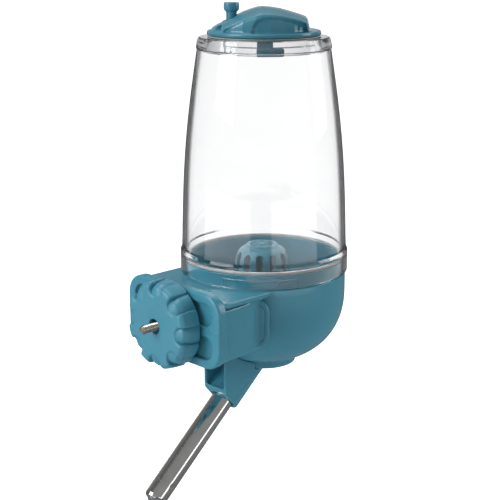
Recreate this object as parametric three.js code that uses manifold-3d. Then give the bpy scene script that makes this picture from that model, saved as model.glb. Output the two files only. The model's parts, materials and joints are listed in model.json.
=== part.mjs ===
// Top-fill rabbit water bottle that clamps to a cage wall.
// Millimetres, +Z up.  Origin: centre of the clamp plate's cage-side face, on the clamp screw's axis.
// -Y points at the cage wall, +X is sideways, the bottle's upright axis stands at x = 0, y = AXIS_Y.
import * as THREE from 'three';
import { mergeVertices } from 'three/addons/utils/BufferGeometryUtils.js';
import Module from 'manifold-3d';

const wasm = await Module();
wasm.setup();

// ---------------------------------------------------------------- driving dimensions
const AXIS_Y = 72;            // bottle axis behind the clamp face
const SEG = 40;               // facets round the large rings
const GAP = 0.3;              // clearance between neighbouring pieces

// clear tank: outer radius against height
const TANK_OUTER = [[138, 39.3], [118, 42.2], [95, 44.9], [70, 46.8], [32.6, 48.2]];
const TANK_TOP_Z = 145.7;
const TANK_TOP_R = 38.1;
const TANK_WALL = 2.6;
const SKIRT_R = 49.1;         // skirt that covers the bowl's collar
const SKIRT_INNER_R = 46.9;
const SKIRT_BOTTOM_Z = 17.4;
const SKIRT_TOP_Z = 30;
const LEDGE_Z = 27;           // step inside the skirt that presses on the gasket
const TANK_LUG_ANGLES = [90, 210, 330];
const TANK_TURN = 35;         // degrees from locked to free

// filler ring at the top
const RING_LOW_R = 38.6, RING_LOW_Z = 146.0;
const RING_TOP_R = 37.2, RING_TOP_Z = 152.5;
const RING_HOLE_R = 30.7;
const RING_FLANGE_Z = 148.4;

// lid
const LID_DISC_R = 32.3, LID_Z = 153.4, LID_DISC_T = 2.6;
const LID_AZIMUTH = 45;       // the grip runs across at this angle
const PLUG_R = 30.2, TAB_INNER_R = 27.8, PLUG_Z0 = 151.2, PLUG_Z1 = 153.2;
const LUG_R = 32.9, LUG_HALF_ANGLE = 13, LUG_Z0 = 143.8, LUG_Z1 = 148.0;
const LUG_ANGLES = [-84, 36, 156];
const LID_TURN = 60;
const VENT_X = -18.3;

// bowl
const BOWL_R = 48, BOWL_TURN_Z = 6, BOWL_DEPTH = 44, BOWL_POWER = 2.3;
const BOWL_SHOULDER_Z = 16.8;
const COLLAR_R = 46.3, COLLAR_INNER_R = 44.4, COLLAR_TOP_Z = 25;
const FLOOR_T = 2.8;
const FOOT_R = 18.8, FOOT_Z = -40;

// strainer
const STRAINER_R = 16, STRAINER_WALL = 2, STRAINER_FOOT_Z = -32.4, STRAINER_SPRING_Z = 14, STRAINER_POWER = 4;
const STRAINER_Y = 70.4;      // the strainer stands a little towards the spout

// bracket
const PLATE_W = 76.4, PLATE_H = 42.6, PLATE_T = 6.2, PLATE_CORNER = 12;
const POCKET_DEPTH = 1.3;
const BLOCK_HALF_W = 35.5, BLOCK_TOP_Z = 12.4, BLOCK_BOTTOM_Z = -17;
const SHELF_HALF_W = 37, SHELF_Z0 = 13.5, SHELF_Z1 = 16.6;
const SADDLE_ANGLE = 48.5, SADDLE_T = 2.5;

// clamp screw (M5) and knob
const SCREW_R = 2.45, SCREW_TIP_Y = -22, SCREW_HEAD_Y = 18, SCREW_HEAD_T = 3.5;
const KNOB_R = 25, KNOB_BACK_Y = -1.2, KNOB_FRONT_Y = -13.4, KNOB_STEP_Y = -9.0;
const KNOB_FACE_R = 22.3, KNOB_SHOULDER_Y = -11.6, KNOB_SCOOP_R = 17.4;
const KNOB_LOBES = 8, KNOB_PHASE = -3;

// spout
const SPOUT_P = [31.33, -61.84];            // a point (y, z) on the tube's axis
const SPOUT_U = [0.7611, 0.6486];           // unit vector (y, z) up the tube
const TUBE_R = 6.6, TUBE_INNER_R = 6.0, TUBE_LIP_R = 4.6;
const TUBE_TOP_S = 22, TUBE_END_S = -63.2;
const BALL_R = 5.55, BALL_S = -59.8;
const HOUSING_R = 9.5, HOUSING_WALL = 2.0, HOUSING_EXIT_S = 8.0, HOUSING_FRONT_Y = 31.3;

// ---------------------------------------------------------------- helpers
const rad = (d) => d * Math.PI / 180;

function clean(geometry) {
  let g = geometry.clone();
  g.deleteAttribute('normal');
  g.deleteAttribute('uv');
  if (!g.index) g = mergeVertices(g, 1e-5);
  g = mergeVertices(g, 1e-5);
  const src = g.index.array, p = g.attributes.position;
  const keep = [];
  for (let i = 0; i < src.length; i += 3) {
    const a = src[i], b = src[i + 1], c = src[i + 2];
    if (a !== b && b !== c && c !== a) keep.push(a, b, c);
  }
  let volume = 0;
  const A = new THREE.Vector3(), B = new THREE.Vector3(), C = new THREE.Vector3();
  for (let i = 0; i < keep.length; i += 3) {
    A.fromBufferAttribute(p, keep[i]); B.fromBufferAttribute(p, keep[i + 1]); C.fromBufferAttribute(p, keep[i + 2]);
    volume += A.dot(B.cross(C));
  }
  if (volume < 0) for (let i = 0; i < keep.length; i += 3) { const t = keep[i]; keep[i] = keep[i + 1]; keep[i + 1] = t; }
  g.setIndex(keep);
  return g;
}

function solid(geometry) {
  const g = clean(geometry);
  return new wasm.Manifold(new wasm.Mesh({
    numProp: 3,
    vertProperties: new Float32Array(g.attributes.position.array),
    triVerts: new Uint32Array(g.index.array),
  }));
}

function shape3(manifold) {
  const m = manifold.getMesh();
  const g = new THREE.BufferGeometry();
  const n = m.numProp, count = m.vertProperties.length / n;
  const pos = new Float32Array(count * 3);
  for (let i = 0; i < count; i++) for (let k = 0; k < 3; k++) pos[i * 3 + k] = m.vertProperties[i * n + k];
  g.setAttribute('position', new THREE.BufferAttribute(pos, 3));
  g.setIndex(Array.from(m.triVerts));
  const out = clean(g);
  out.computeVertexNormals();
  return out;
}

// a turned piece about +Z from (r, z) points; closed = the profile closes on itself
function turned(points, closed = true, seg = SEG) {
  const pts = points.map(([r, z]) => new THREE.Vector2(r, z));
  if (closed) pts.push(pts[0].clone());
  const g = new THREE.LatheGeometry(pts, seg);
  g.rotateX(Math.PI / 2);
  return solid(g);
}

// prism of (x, y) points from z0 to z1
function prism(points, z0, z1) {
  const s = new THREE.Shape(points.map(([x, y]) => new THREE.Vector2(x, y)));
  const g = new THREE.ExtrudeGeometry(s, { depth: z1 - z0, bevelEnabled: false });
  g.translate(0, 0, z0);
  return solid(g);
}

// prism of (x, z) points from y0 to y1
function prismY(points, y0, y1) {
  const s = new THREE.Shape(points.map(([x, z]) => new THREE.Vector2(x, z)));
  const g = new THREE.ExtrudeGeometry(s, { depth: y1 - y0, bevelEnabled: false });
  g.rotateX(Math.PI / 2);
  g.translate(0, y1, 0);
  return solid(g);
}

// prism of (y, z) points from x0 to x1
function prismX(points, x0, x1) {
  const s = new THREE.Shape(points.map(([y, z]) => new THREE.Vector2(y, z)));
  const g = new THREE.ExtrudeGeometry(s, { depth: x1 - x0, bevelEnabled: false });
  const m = new THREE.Matrix4().set(0, 0, 1, x0, 1, 0, 0, 0, 0, 1, 0, 0, 0, 0, 0, 1);
  g.applyMatrix4(m);
  return solid(g);
}

// part of a ring about +Z
function sector(r0, r1, a0, a1, z0, z1, step = 4) {
  const n = Math.max(2, Math.ceil((a1 - a0) / step));
  const pts = [];
  for (let i = 0; i <= n; i++) { const a = rad(a0 + (a1 - a0) * i / n); pts.push([r1 * Math.cos(a), r1 * Math.sin(a)]); }
  for (let i = n; i >= 0; i--) { const a = rad(a0 + (a1 - a0) * i / n); pts.push([r0 * Math.cos(a), r0 * Math.sin(a)]); }
  return prism(pts, z0, z1);
}

const hexagon = (af, phase = 0) => Array.from({ length: 6 }, (_, i) => {
  const a = rad(60 * i + phase);
  return [af / Math.sqrt(3) * Math.cos(a), af / Math.sqrt(3) * Math.sin(a)];
});

const circle = (r, seg = 24, phase = 0) => Array.from({ length: seg }, (_, i) => {
  const a = 2 * Math.PI * (i + phase) / seg;
  return [r * Math.cos(a), r * Math.sin(a)];
});

function roundedRect(w, h, r, n = 6, cx = 0, cy = 0) {
  const pts = [];
  for (const [sx, sy, a0] of [[1, 1, 0], [-1, 1, 90], [-1, -1, 180], [1, -1, 270]]) {
    for (let i = 0; i <= n; i++) {
      const a = rad(a0 + 90 * i / n);
      pts.push([cx + sx * (w / 2 - r) + r * Math.cos(a), cy + sy * (h / 2 - r) + r * Math.sin(a)]);
    }
  }
  return pts;
}

// matrix that takes local z up the tube's axis, local y to the tube's upper side
const UY = SPOUT_U[0], UZ = SPOUT_U[1];
const tubeFrame = new THREE.Matrix4().set(
  1, 0, 0, 0,
  0, -UZ, UY, SPOUT_P[0],
  0, UY, UZ, SPOUT_P[1],
  0, 0, 0, 1);
const flip = new THREE.Matrix4().makeScale(-1, 1, 1);   // keeps the frame right-handed
const tubeMatrix = tubeFrame.clone().multiply(flip);
const inTube = (m) => m.transform(tubeMatrix.elements.slice());
const tubePoint = (s, n) => [SPOUT_P[0] + UY * s + UZ * n, SPOUT_P[1] + UZ * s - UY * n];

const toAxis = (m) => m.translate([0, AXIS_Y, 0]);

function material(color, roughness, metalness = 0, opacity = 1) {
  return new THREE.MeshStandardMaterial({ color, roughness, metalness, opacity, transparent: opacity < 1 });
}
const TEAL = 0x5a9bb0, TEAL_DARK = 0x4f8ca1, CLEAR = 0xe9eeee, STEEL = 0xc9c9c6, ZINC = 0xb9b3a8, SILICONE = 0xf1f3f2;

const root = new THREE.Group();
function add(name, manifold, mat) {
  const mesh = new THREE.Mesh(shape3(manifold), mat);
  mesh.name = name;
  root.add(mesh);
  return mesh;
}

// ---------------------------------------------------------------- tank
{
  const outer = [[SKIRT_R, SKIRT_BOTTOM_Z], [SKIRT_R, SKIRT_TOP_Z - 0.6], [48.4, SKIRT_TOP_Z + 0.8]];
  for (const [z, r] of [...TANK_OUTER].reverse()) outer.push([r, z]);
  outer.push([TANK_TOP_R, TANK_TOP_Z]);
  const inner = [[TANK_TOP_R - TANK_WALL, TANK_TOP_Z]];
  for (const [z, r] of TANK_OUTER) inner.push([r - TANK_WALL, z]);
  inner.push([45.5, LEDGE_Z], [SKIRT_INNER_R, LEDGE_Z], [SKIRT_INNER_R, SKIRT_BOTTOM_Z]);
  let tank = turned([...outer, ...inner]);
  for (const a of TANK_LUG_ANGLES) {
    tank = tank.subtract(sector(SKIRT_INNER_R - 0.6, 47.9, a - TANK_TURN - 8, a + 8, 18.8, 22.4));
    tank = tank.subtract(sector(SKIRT_INNER_R - 0.6, 47.9, a - TANK_TURN - 8, a - TANK_TURN + 8, SKIRT_BOTTOM_Z - 1, 20));
  }
  add('tank_shell', toAxis(tank), material(CLEAR, 0.05, 0, 0.3));
}

// filler ring: band round the tank's top, seat for the lid, flange with three lug entries
{
  let ring = turned([
    [RING_LOW_R, RING_LOW_Z], [RING_TOP_R + 0.3, RING_TOP_Z - 0.5], [RING_TOP_R - 0.4, RING_TOP_Z],
    [RING_HOLE_R, RING_TOP_Z], [RING_HOLE_R, RING_FLANGE_Z], [33.4, RING_FLANGE_Z], [33.4, 144.4],
    [35.2, 144.4], [35.2, RING_LOW_Z],
  ]);
  for (const a of LUG_ANGLES) {
    const c = a + LID_AZIMUTH + LID_TURN;
    ring = ring.subtract(sector(RING_HOLE_R - 1, 33.2, c - LUG_HALF_ANGLE - 1.6, c + LUG_HALF_ANGLE + 1.6, RING_FLANGE_Z - 1, RING_TOP_Z + 1));
    const s = a + LID_AZIMUTH - 41;
    ring = ring.add(sector(31.2, 33.6, s - 3, s + 3, 145.4, RING_FLANGE_Z + 0.4));
  }
  add('filler_ring', toAxis(ring), material(CLEAR, 0.05, 0, 0.3));
}

// gasket between the bowl's collar and the tank's ledge
add('tank_gasket', toAxis(turned([[44.6, 25.2], [46.2, 25.2], [46.2, 26.8], [44.6, 26.8]])), material(SILICONE, 0.5));

// ---------------------------------------------------------------- lid
const lidPlace = (m) => toAxis(m.rotate([0, 0, LID_AZIMUTH]));
{
  let cap = turned([[0, LID_Z], [LID_DISC_R, LID_Z], [LID_DISC_R, LID_Z + LID_DISC_T - 0.7], [LID_DISC_R - 0.8, LID_Z + LID_DISC_T], [0, LID_Z + LID_DISC_T]], false);
  const humped = [[27.2, LID_Z + 1], [27.0, 155.6], [25.9, 156.8], [24.8, 159.2], [24.7, 162.0], [23.6, 163.4], [20.2, 164.7], [14.6, 166.5], [9, 168], [3.4, 168.8],
    [-1.1, 169.2], [-3.9, 168.8], [-7.9, 167.7], [-11.8, 166.3], [-14.6, 164.8], [-18, 162.8], [-22.5, 161.2], [-26, 159.8], [-30.6, 157.0], [-31.4, 155.4], [-31.4, LID_Z + 1]];
  // the hump fills the disc nearly to its rim, and rounds off at the end away from the vent
  const halfPlan = [[28.4, 0], [27.4, 8], [26, 14.5], [23.6, 19.4], [18.4, 24.4], [12.2, 28], [4.2, 30.2], [-4.2, 30.2], [-12.2, 28], [-18.8, 24.1], [-24.4, 18.4], [-28.2, 11.8], [-30.5, 4.2], [-30.7, 0]];
  const mirrored = (half) => [...half, ...half.slice(1, -1).reverse().map(([x, y]) => [x, -y])];
  let grip = prismY(humped, -31, 31).intersect(prism(mirrored(halfPlan), LID_Z, 172));
  // its crown falls a little towards both sides
  const crown = [[-31, LID_Z], [-31, 166.7], [-22, 167.9], [-11, 168.9], [0, 169.3], [11, 168.9], [22, 167.9], [31, 166.7], [31, LID_Z]];
  grip = grip.intersect(prismX(crown, -32, 32));
  // finger hollows in both sides
  const hollow = [[24.6, 157], [23.2, 161.2], [18.3, 163.2], [10.4, 165.2], [3.4, 165.8], [-1.4, 165], [-5, 162.9], [-7.2, 159.6], [-8, 157]];
  for (const [y0, y1] of [[-34, -29], [29, 34]]) grip = grip.subtract(prismY(hollow, y0, y1));
  // a pocket each side at the vent's end
  for (const [y0, y1] of [[-34, -10], [10, 34]]) grip = grip.subtract(prismY([[-30.4, 156.5], [-23.4, 156.5], [-23.4, 159.2], [-26.2, 158.2]], y0, y1));
  // the hump is hollow from below
  const innerProfile = [[24, LID_Z - 1], [24, 155.4], [22.4, 158], [21.8, 160.6], [19.4, 162], [14.2, 163.7], [8.7, 165], [3.2, 165.8], [-1.1, 166], [-3.4, 165.7], [-7.1, 164.7], [-10.9, 163.3], [-12, 162.6], [-12, LID_Z - 1]];
  const halfInner = [[24.2, 0], [23.8, 6], [22.4, 12.5], [20, 17.4], [15.6, 21.6], [8, 25.2], [0, 26.4], [-8, 25.2], [-12.5, 23], [-12.5, 0]];
  cap = cap.add(grip).subtract(prismY(innerProfile, -27, 27).intersect(prism(mirrored(halfInner), LID_Z - 1, 172)));
  // guide bore of the vent plunger: a wide bore for its spring, a narrow one through the disc
  cap = cap.subtract(prism(circle(3.6, 20).map(([x, y]) => [x + VENT_X, y]), LID_Z + LID_DISC_T, 175));
  cap = cap.subtract(prism(circle(2.2, 16).map(([x, y]) => [x + VENT_X, y]), LID_Z - 1, 158));
  add('lid_cap', lidPlace(cap), material(TEAL, 0.35));
}
{
  // a plate under the lid with three tabs hanging from it, each with a bayonet lug at its foot
  let plug = turned([[0, PLUG_Z0], [PLUG_R, PLUG_Z0], [PLUG_R, PLUG_Z1], [0, PLUG_Z1]], false);
  for (const a of LUG_ANGLES) {
    plug = plug.add(sector(TAB_INNER_R, PLUG_R, a - LUG_HALF_ANGLE, a + LUG_HALF_ANGLE, LUG_Z0, PLUG_Z0 + 0.5));
    plug = plug.add(sector(PLUG_R - 1, LUG_R, a - LUG_HALF_ANGLE, a + LUG_HALF_ANGLE, LUG_Z0, LUG_Z1));
  }
  plug = plug.subtract(prism(circle(2.2, 16).map(([x, y]) => [x + VENT_X, y]), 150, 155));
  add('lid_plug', lidPlace(plug), material(TEAL_DARK, 0.4));
}
add('lid_gasket', lidPlace(turned([[30.75, 152.7], [32.0, 152.7], [32.0, 153.2], [30.75, 153.2]])), material(SILICONE, 0.5));

// vent plunger with its return spring, seal and clip
const ventPlace = (m) => lidPlace(m.translate([VENT_X, 0, 0]));
add('vent_stem', ventPlace(turned([[0, 147.0], [1.8, 147.0], [1.8, 161.8], [3.0, 161.8], [3.0, 166.0], [4.0, 167.2], [4.35, 167.8], [4.35, 171.0], [4.0, 171.4], [0, 171.4]], false, 24)), material(TEAL, 0.4));
add('vent_spring', ventPlace(turned([[2.1, 156.3], [3.2, 156.3], [3.2, 161.5], [2.1, 161.5]], true, 20)), material(STEEL, 0.3, 1));
add('vent_seal', ventPlace(turned([[2.05, 149.4], [4.6, 149.4], [4.6, 150.9], [2.05, 150.9]], true, 20)), material(SILICONE, 0.5));
add('vent_clip', ventPlace(turned([[2.05, 148.0], [3.4, 148.0], [3.4, 149.1], [2.05, 149.1]], true, 20)), material(STEEL, 0.3, 1));

// ---------------------------------------------------------------- bowl
function bowlCurve(r0, depth, n, from = 0, to = 90) {
  const pts = [];
  for (let i = 0; i <= n; i++) {
    const u = rad(from + (to - from) * i / n);
    pts.push([r0 * Math.pow(Math.max(0, Math.cos(u)), 2 / BOWL_POWER), BOWL_TURN_Z - depth * Math.pow(Math.max(0, Math.sin(u)), 2 / BOWL_POWER)]);
  }
  return pts;
}
function bowlEnvelope(off) {
  const c = bowlCurve(BOWL_R + off, BOWL_DEPTH + off, 8, 0, 66);
  return toAxis(turned([[0, 30], [BOWL_R + off, 30], ...c, [FOOT_R + off, -36.2 - off], [FOOT_R + off, FOOT_Z - off], [0, FOOT_Z - off]], false));
}
{
  const outer = bowlCurve(BOWL_R, BOWL_DEPTH, 8, 0, 66);
  const inner = bowlCurve(BOWL_R - FLOOR_T, BOWL_DEPTH - FLOOR_T, 7, 4, 90).reverse();
  inner[0][0] = 0;
  let bowl = turned([
    [0, FOOT_Z], [FOOT_R - 0.6, FOOT_Z], [FOOT_R, FOOT_Z + 0.6], [FOOT_R, -36.2],
    ...outer.reverse(), [BOWL_R, BOWL_SHOULDER_Z], [COLLAR_R, BOWL_SHOULDER_Z], [COLLAR_R, COLLAR_TOP_Z], [COLLAR_INNER_R, COLLAR_TOP_Z],
    [COLLAR_INNER_R, 12], ...inner.reverse(),
  ], false);
  for (const a of TANK_LUG_ANGLES) bowl = bowl.add(sector(COLLAR_R - 1, 47.5, a - 6, a + 6, 19.2, 22.0));
  bowl = toAxis(bowl);
  // outlet from the bowl's floor into the spout
  bowl = bowl.subtract(inTube(prism(circle(3.2, 20), 24, 50)));
  add('base_bowl', bowl, material(TEAL, 0.3));
}

// strainer cage standing over the outlet
{
  const curve = (r, h, n) => Array.from({ length: n + 1 }, (_, i) => {
    const u = rad(90 * i / n);
    return [i === n ? 0 : r * Math.pow(Math.cos(u), 2 / STRAINER_POWER), STRAINER_SPRING_Z + h * Math.pow(Math.sin(u), 2 / STRAINER_POWER)];
  });
  const ri = STRAINER_R - STRAINER_WALL;
  let cage = turned([...curve(STRAINER_R, 17.4, 6).reverse(), [STRAINER_R, STRAINER_FOOT_Z], [ri, STRAINER_FOOT_Z], ...curve(ri, 15.4, 5)], false, 24);
  cage = cage.add(turned([[7.3, 30], [9.4, 29], [9.4, 32.6], [8.9, 33.1], [7.8, 33.1], [7.3, 32.6]], true, 24));
  for (let k = 0; k < 6; k++) {
    const box = new THREE.BoxGeometry(40, 4.1, 33);
    box.translate(0, 0, 28 - 16.5);
    box.rotateZ(rad(30 * k + 10));
    cage = cage.subtract(solid(box));
  }
  add('strainer_dome', cage.translate([0, STRAINER_Y, 0]), material(TEAL, 0.4));
}

// ---------------------------------------------------------------- bracket
{
  let plate = prismY(roundedRect(PLATE_W, PLATE_H, PLATE_CORNER, 6), 0, PLATE_T);
  for (const side of [1, -1]) {
    plate = plate.subtract(prismY(roundedRect(PLATE_W - 12, 13, 6, 4, 0, side * 9.4), -1, POCKET_DEPTH));
  }
  const block = prism([[-BLOCK_HALF_W, 5], [BLOCK_HALF_W, 5], [BLOCK_HALF_W, 12], [34.4, 24], [31.6, 45], [-31.6, 45], [-34.4, 24], [-BLOCK_HALF_W, 12]], BLOCK_BOTTOM_Z, BLOCK_TOP_Z);
  const neck = prism([[-33.6, 5], [33.6, 5], [33.6, 45], [-33.6, 45]], BLOCK_TOP_Z - 1, SHELF_Z0 + 1);
  const shelf = prism([[-SHELF_HALF_W + 2, 3], [SHELF_HALF_W - 2, 3], [SHELF_HALF_W, 8], [SHELF_HALF_W, 45], [-SHELF_HALF_W, 45], [-SHELF_HALF_W, 8]], SHELF_Z0, SHELF_Z1);
  const saddle = toAxis(sector(40, BOWL_R + GAP + SADDLE_T, -90 - SADDLE_ANGLE, -90 + SADDLE_ANGLE, -15.8, 12.2));
  let bracket = plate.add(block).add(neck).add(shelf).add(saddle);
  bracket = bracket.subtract(bowlEnvelope(GAP));
  bracket = bracket.subtract(prismY(circle(2.8, 20), -1, 20));
  bracket = bracket.subtract(prismY(hexagon(8.5), SCREW_HEAD_Y - 1.3, 30));
  add('mount_bracket', bracket, material(TEAL, 0.35));
}

// spout housing: a U-shaped shroud round the tube, open at the front above it
{
  const section = [[-HOUSING_R, 45], [-HOUSING_R, 0]];
  for (let i = 1; i < 12; i++) { const a = rad(180 + 15 * i); section.push([HOUSING_R * Math.cos(a), HOUSING_R * Math.sin(a)]); }
  section.push([HOUSING_R, 0], [HOUSING_R, 45]);
  let housing = inTube(prism(section, HOUSING_EXIT_S, 62));
  housing = housing.intersect(prismX([[HOUSING_FRONT_Y, BLOCK_BOTTOM_Z - GAP], [HOUSING_FRONT_Y, -90], [100, -90], [100, BLOCK_BOTTOM_Z - GAP]], -30, 30));
  housing = housing.subtract(bowlEnvelope(GAP));
  // tube bore, seal gland and the passage up to the bowl
  housing = housing.subtract(inTube(prism(circle(TUBE_R + GAP, 32), HOUSING_EXIT_S - 3, TUBE_TOP_S + 0.4)));
  housing = housing.subtract(inTube(prism(circle(8.3, 32), 13.4, 16.2)));
  housing = housing.subtract(inTube(prism(circle(3.2, 20), TUBE_TOP_S, 50)));
  // front recess between the side walls
  const inset = HOUSING_R - HOUSING_WALL;
  housing = housing.subtract(prismX([[28, -15], [28, -42.53], tubePoint(HOUSING_EXIT_S + 2, -8.7), tubePoint(52, -8.7), [tubePoint(52, -8.7)[0], -15]], -inset, inset));
  add('spout_housing', housing, material(TEAL, 0.35));
}

// tube seal, drinking tube and ball
{
  const ring = circle(0.65, 6, 0.5).map(([r, z]) => [r + 7.45, z + 14.8]);
  add('tube_seal', inTube(turned(ring, true, 24)), material(SILICONE, 0.5));
  const tube = turned([
    [TUBE_R, TUBE_TOP_S], [TUBE_R, TUBE_END_S + 2.0], [TUBE_R - 0.3, TUBE_END_S + 1.0], [TUBE_R - 1.0, TUBE_END_S + 0.25], [TUBE_LIP_R + 0.4, TUBE_END_S], [TUBE_LIP_R, TUBE_END_S + 0.3],
    [TUBE_LIP_R + 0.3, TUBE_END_S + 0.7], [TUBE_INNER_R - 0.5, TUBE_END_S + 1.2], [TUBE_INNER_R, TUBE_END_S + 2.2], [TUBE_INNER_R, TUBE_TOP_S],
  ], true, 32);
  add('drink_tube', inTube(tube), material(STEEL, 0.15, 1));
  const ball = new THREE.SphereGeometry(BALL_R, 20, 12);
  ball.rotateX(Math.PI / 2);
  add('tube_ball', inTube(solid(ball).translate([0, 0, BALL_S])), material(STEEL, 0.1, 1));
}

// ---------------------------------------------------------------- clamp screw and knob
{
  const shank = prismY(circle(SCREW_R, 20), SCREW_TIP_Y + 0.6, SCREW_HEAD_Y + 0.5);
  const tip = prismY(circle(SCREW_R - 0.5, 20), SCREW_TIP_Y, SCREW_TIP_Y + 1);
  const head = prismY(hexagon(8), SCREW_HEAD_Y, SCREW_HEAD_Y + SCREW_HEAD_T);
  add('clamp_bolt', shank.add(tip).add(head), material(ZINC, 0.35, 1));
  add('bolt_head_washer', prismY(circle(4.1, 20), SCREW_HEAD_Y - 1.1, SCREW_HEAD_Y - 0.25).subtract(prismY(circle(2.8, 20), 0, 30)), material(ZINC, 0.35, 1));
  add('clamp_washer', prismY(circle(6.0, 28), -1.0, -0.2).subtract(prismY(circle(2.8, 20), -10, 10)), material(ZINC, 0.35, 1));

  // knob: lands between eight sunk lobes, stepped in towards its face
  const outline = (land, sunk) => {
    const pts = [], n = 96, pitch = 360 / KNOB_LOBES;
    for (let i = 0; i < n; i++) {
      const deg = KNOB_PHASE + 360 * i / n;
      let t = Math.abs(((360 * i / n) + pitch / 2) % pitch - pitch / 2);   // 0 in the middle of a sunk lobe
      const r = t < 10 ? sunk : (t < 13 ? sunk + (land - sunk) * (t - 10) / 3 : land);
      pts.push([r * Math.cos(rad(deg)), r * Math.sin(rad(deg))]);
    }
    return pts;
  };
  let knob = prismY(outline(KNOB_R, KNOB_R - 0.8), -6.5, KNOB_BACK_Y)
    .add(prismY(outline(24.6, 23.2), KNOB_STEP_Y, -6))
    .add(prismY(outline(24.2, 19.5), KNOB_SHOULDER_Y, KNOB_STEP_Y + 0.5))
    .add(prismY(outline(KNOB_FACE_R, KNOB_SCOOP_R), KNOB_FRONT_Y, KNOB_SHOULDER_Y + 0.5));
  knob = knob.subtract(prismY(circle(4.25, 24), KNOB_FRONT_Y - 1, -5));
  knob = knob.subtract(prismY(hexagon(8.6), -6.4, 2));
  add('clamp_knob', knob, material(TEAL, 0.4));
  add('knob_nut', prismY(hexagon(8), -6.1, -2.2).subtract(prismY(circle(2.75, 20), -10, 10)), material(ZINC, 0.35, 1));
}

export default root;
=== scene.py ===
"""Looks of the top-fill rabbit water bottle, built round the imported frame. Meshes are worked out in millimetres and scaled to metres when they are made."""

import json
import math

import bpy
import numpy as np
from mathutils import Matrix, Vector

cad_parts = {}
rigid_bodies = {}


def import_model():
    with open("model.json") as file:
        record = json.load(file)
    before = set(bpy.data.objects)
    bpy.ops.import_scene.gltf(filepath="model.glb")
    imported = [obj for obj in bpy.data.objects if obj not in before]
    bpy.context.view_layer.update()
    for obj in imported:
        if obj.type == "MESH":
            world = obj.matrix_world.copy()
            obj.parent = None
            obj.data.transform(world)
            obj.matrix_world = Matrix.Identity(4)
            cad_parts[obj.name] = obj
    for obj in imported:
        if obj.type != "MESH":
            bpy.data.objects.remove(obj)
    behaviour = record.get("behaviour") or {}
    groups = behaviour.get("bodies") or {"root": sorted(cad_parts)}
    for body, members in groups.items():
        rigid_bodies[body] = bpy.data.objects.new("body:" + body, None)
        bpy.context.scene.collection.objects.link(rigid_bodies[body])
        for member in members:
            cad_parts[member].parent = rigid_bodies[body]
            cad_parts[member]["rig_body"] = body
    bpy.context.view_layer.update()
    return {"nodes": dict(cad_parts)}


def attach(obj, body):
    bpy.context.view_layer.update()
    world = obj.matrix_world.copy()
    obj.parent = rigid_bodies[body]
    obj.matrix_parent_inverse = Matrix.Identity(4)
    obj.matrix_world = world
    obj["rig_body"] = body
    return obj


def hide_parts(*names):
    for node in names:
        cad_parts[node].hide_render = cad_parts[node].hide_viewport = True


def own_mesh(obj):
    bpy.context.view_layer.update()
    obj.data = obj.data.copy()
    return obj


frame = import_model()
MM = 0.001
AXIS_Y = 72.0
SCENE = bpy.context.scene

# ---------------------------------------------------------------- camera
PITCH = math.radians(14.7)
RIGHT = Vector((math.sqrt(0.5), math.sqrt(0.5), 0))
TOWARD = Vector((math.sqrt(0.5), -math.sqrt(0.5), 0))
UP = Vector((0, 0, 1))
CAM_UP = -math.sin(PITCH) * TOWARD + math.cos(PITCH) * UP
CAM_BACK = math.cos(PITCH) * TOWARD + math.sin(PITCH) * UP
cam_data = bpy.data.cameras.new("Camera")
cam = bpy.data.objects.new("Camera", cam_data)
SCENE.collection.objects.link(cam)
cam_data.lens = 86.4
cam_data.sensor_width = 36
cam_data.shift_x = -0.028
cam_data.clip_start = 0.01
cam_data.clip_end = 60
spot = (Vector((0, 72, 25)) + 2.6 * CAM_UP + 710 * CAM_BACK) * MM
cam.matrix_world = Matrix.Translation(spot) @ Matrix((RIGHT, CAM_UP, CAM_BACK)).transposed().to_4x4()
SCENE.camera = cam


# ---------------------------------------------------------------- signed distances, in millimetres
def smin(a, b, k):
    h = np.clip(0.5 + 0.5 * (b - a) / k, 0, 1)
    return b + (a - b) * h - k * h * (1 - h)


def smax(a, b, k):
    return -smin(-a, -b, k)


def poly(px, py, pts):
    """Signed distance to a polygon in two coordinates."""
    pts = np.asarray(pts, float)
    shape = np.broadcast(px, py).shape
    d = np.full(shape, 1e12)
    s = np.ones(shape)
    for i in range(len(pts)):
        ax, ay = pts[i]
        bx, by = pts[i - 1]
        ex, ey = bx - ax, by - ay
        if ex * ex + ey * ey < 1e-12:
            continue
        wx, wy = px - ax, py - ay
        t = np.clip((wx * ex + wy * ey) / (ex * ex + ey * ey), 0, 1)
        d = np.minimum(d, (wx - ex * t) ** 2 + (wy - ey * t) ** 2)
        c1, c2, c3 = py >= ay, py < by, ex * wy > ey * wx
        flip = (c1 & c2 & c3) | (~c1 & ~c2 & ~c3)
        s = np.where(flip, -s, s)
    return s * np.sqrt(d)


def ext(d2, dz, r=0.0):
    """A flat outline given thickness, with its edges rounded by r."""
    a, b = d2 + r, dz + r
    return np.minimum(np.maximum(a, b), 0) + np.hypot(np.maximum(a, 0), np.maximum(b, 0)) - r


def rrect(px, py, hw, hh, r):
    qx, qy = np.abs(px) - hw + r, np.abs(py) - hh + r
    return np.minimum(np.maximum(qx, qy), 0) + np.hypot(np.maximum(qx, 0), np.maximum(qy, 0)) - r


def band(v, lo, hi):
    return np.abs(v - (lo + hi) / 2) - (hi - lo) / 2


def hexd(px, py, af, phase=0.0):
    """Hexagon across flats af, with a corner at phase degrees."""
    d = np.full(np.broadcast(px, py).shape, -1e9)
    for k in range(6):
        a = math.radians(30 + 60 * k + phase)
        d = np.maximum(d, px * math.cos(a) + py * math.sin(a) - af / 2)
    return d


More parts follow.
